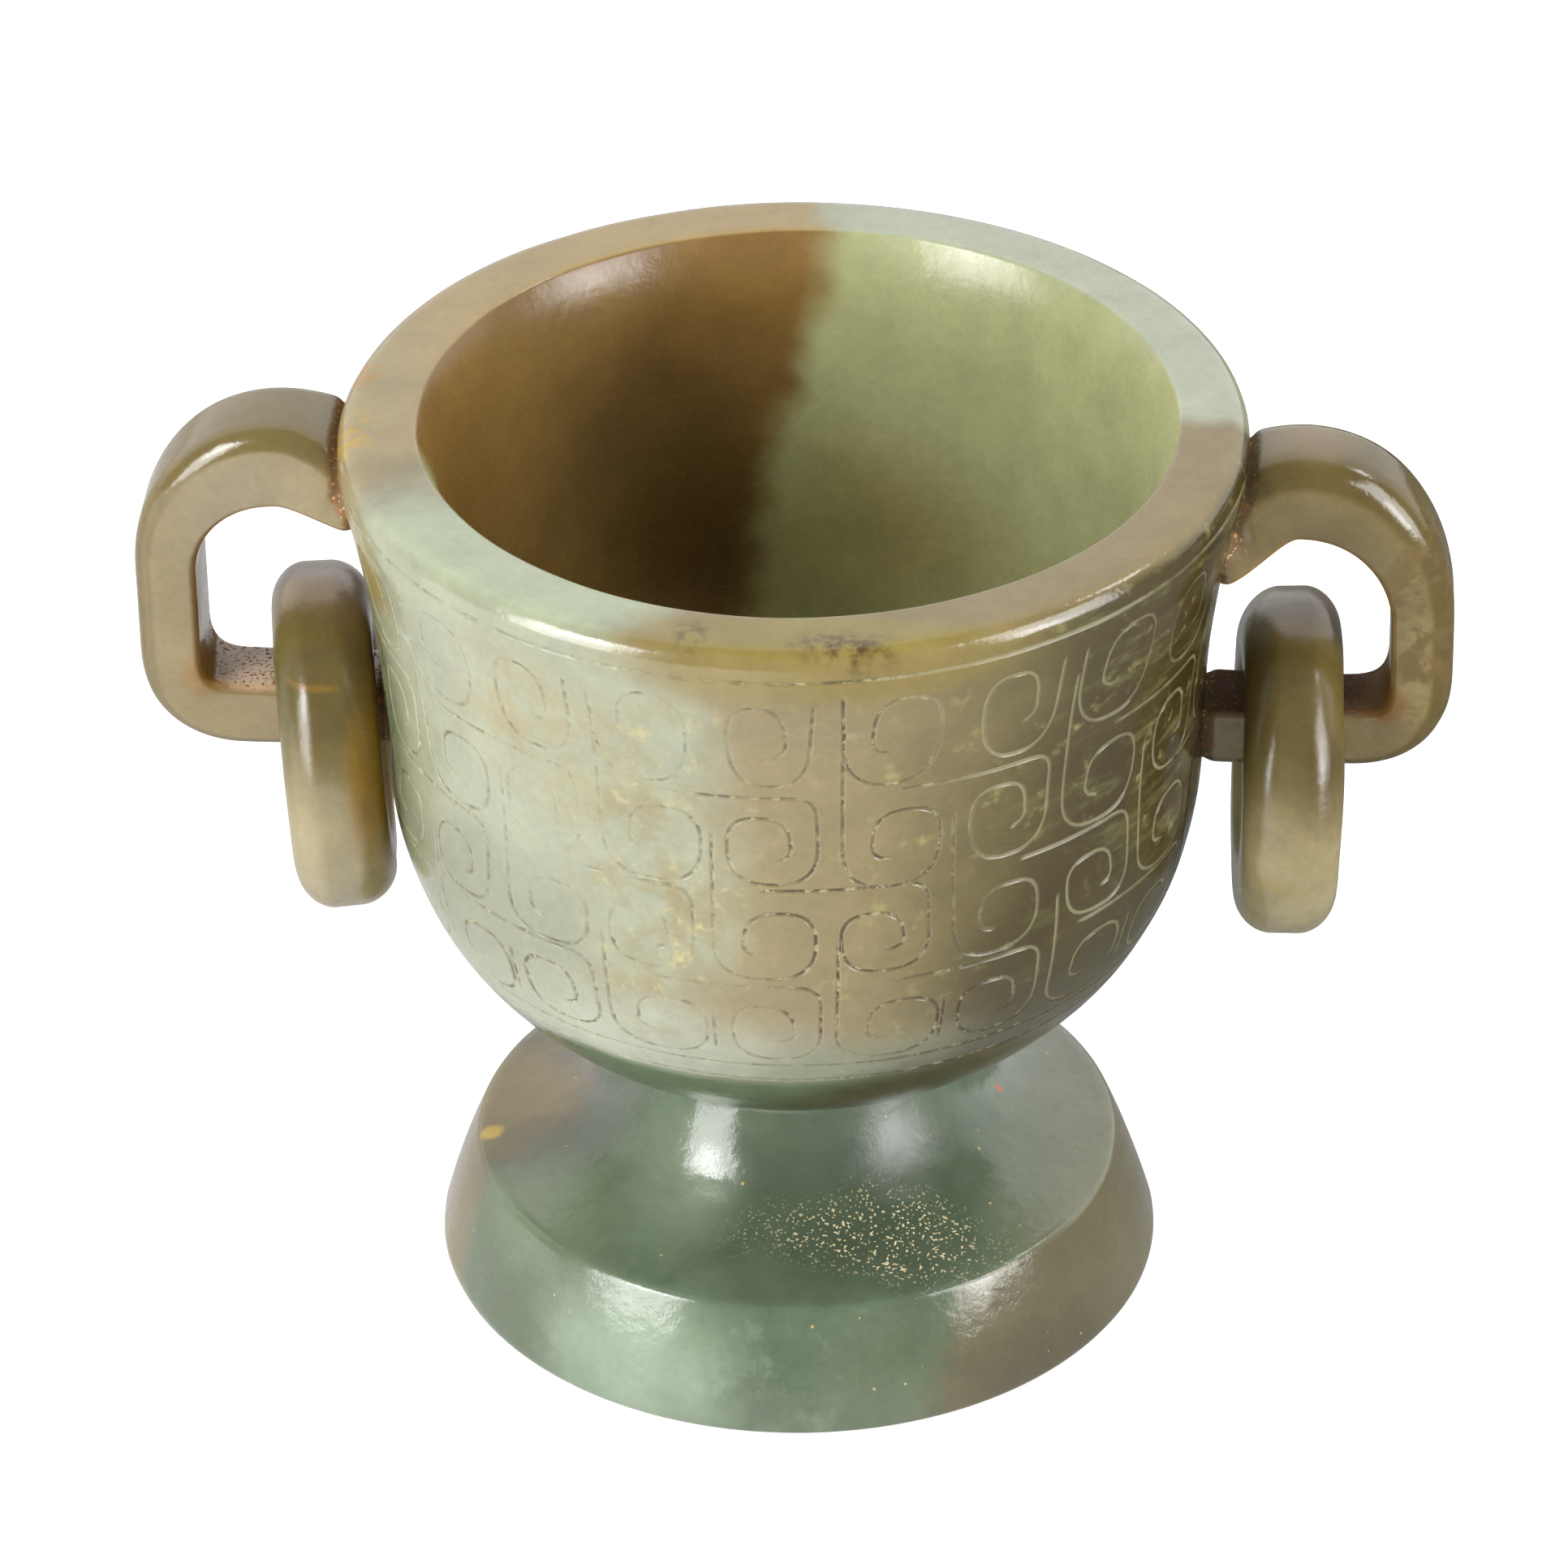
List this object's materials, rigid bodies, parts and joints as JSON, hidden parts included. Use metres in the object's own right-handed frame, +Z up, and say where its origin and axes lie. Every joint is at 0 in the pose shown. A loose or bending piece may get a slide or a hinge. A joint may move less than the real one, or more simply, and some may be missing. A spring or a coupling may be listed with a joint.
{
  "type": "footed jade libation cup",
  "caption": "Deep jade cup on a spreading foot, with strap handles that form loops and carry loose rings, and incised scrolls round the bowl.",
  "frame": {"origin": "centre of the foot's resting face", "axes": "+Z up through the bowl, X through the handles, -Y towards the front"},
  "size_m": [0.0918, 0.0628, 0.0684],
  "materials": {
    "celadon_jade": "polished pale celadon jade clouded with warm grey and brown",
    "green_jade": "polished grey-green jade",
    "olive_jade": "polished olive-beige jade with brown residue in the corners",
    "brown_jade": "polished dark olive jade, paler below"
  },
  "bodies": {
    "cup": {"bowl": "celadon_jade", "foot": "green_jade", "left_handle": "olive_jade", "right_handle": "olive_jade"},
    "left_ring": {"left_ring": "brown_jade"},
    "right_ring": {"right_ring": "brown_jade"}
  },
  "joints": [
    {"name": "left_ring_swing", "type": "hinge", "parent": "cup", "child": "left_ring", "pos_m": [-0.03292, 0, 0.04465], "axis": [0.9908, 0.1216, 0.0593], "continuous": true},
    {"name": "right_ring_swing", "type": "hinge", "parent": "cup", "child": "right_ring", "pos_m": [0.0347, 0, 0.04465], "axis": [0.9988, 0.0436, -0.0209], "continuous": true}
  ]
}
